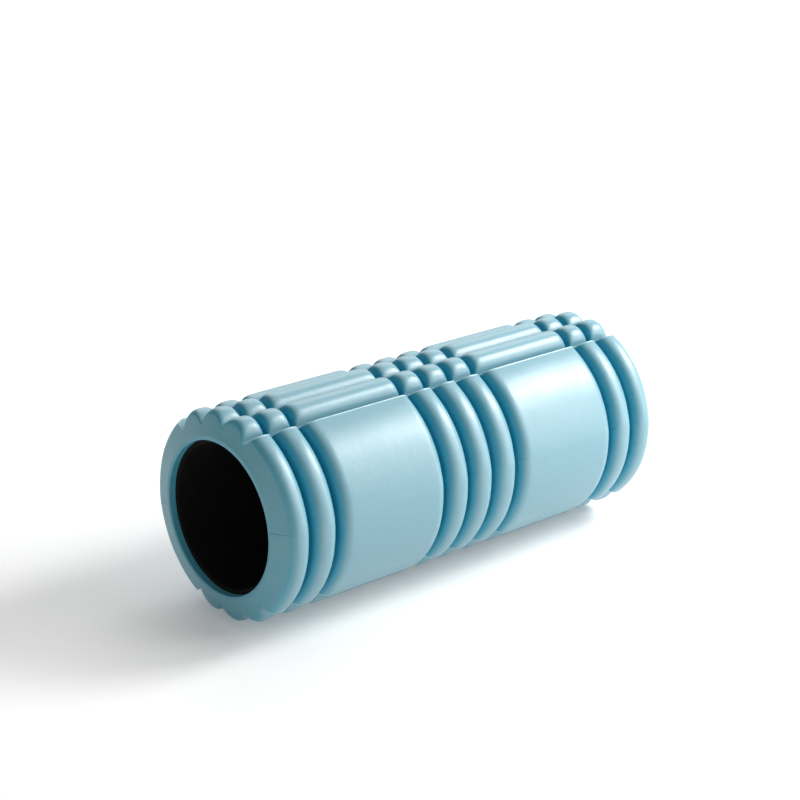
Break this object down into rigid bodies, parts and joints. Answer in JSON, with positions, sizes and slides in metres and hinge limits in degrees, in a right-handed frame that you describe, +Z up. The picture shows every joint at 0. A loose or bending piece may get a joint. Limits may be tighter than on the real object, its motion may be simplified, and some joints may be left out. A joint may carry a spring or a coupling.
{
  "type": "foam roller",
  "caption": "Massage foam roller: rigid hollow core tube in a thick moulded foam sleeve with round rings, smooth panels and two zones of knuckles and lengthwise fingers.",
  "frame": {"origin": "on the floor plane under the middle of the roller, where it lies on two rows of its lower zone", "axes": "+X along the roller's axis, +Z up, +Y across the roller; the foam's split plane is turned ten degrees about X from the horizontal, because the roller lies on two neighbouring rows"},
  "size_m": [0.333, 0.14, 0.1382],
  "materials": {
    "core": "satin",
    "foam": "satin"
  },
  "bodies": {
    "root": {"core_tube": "core", "foam_upper_half": "foam", "foam_lower_half": "foam"}
  },
  "joints": []
}
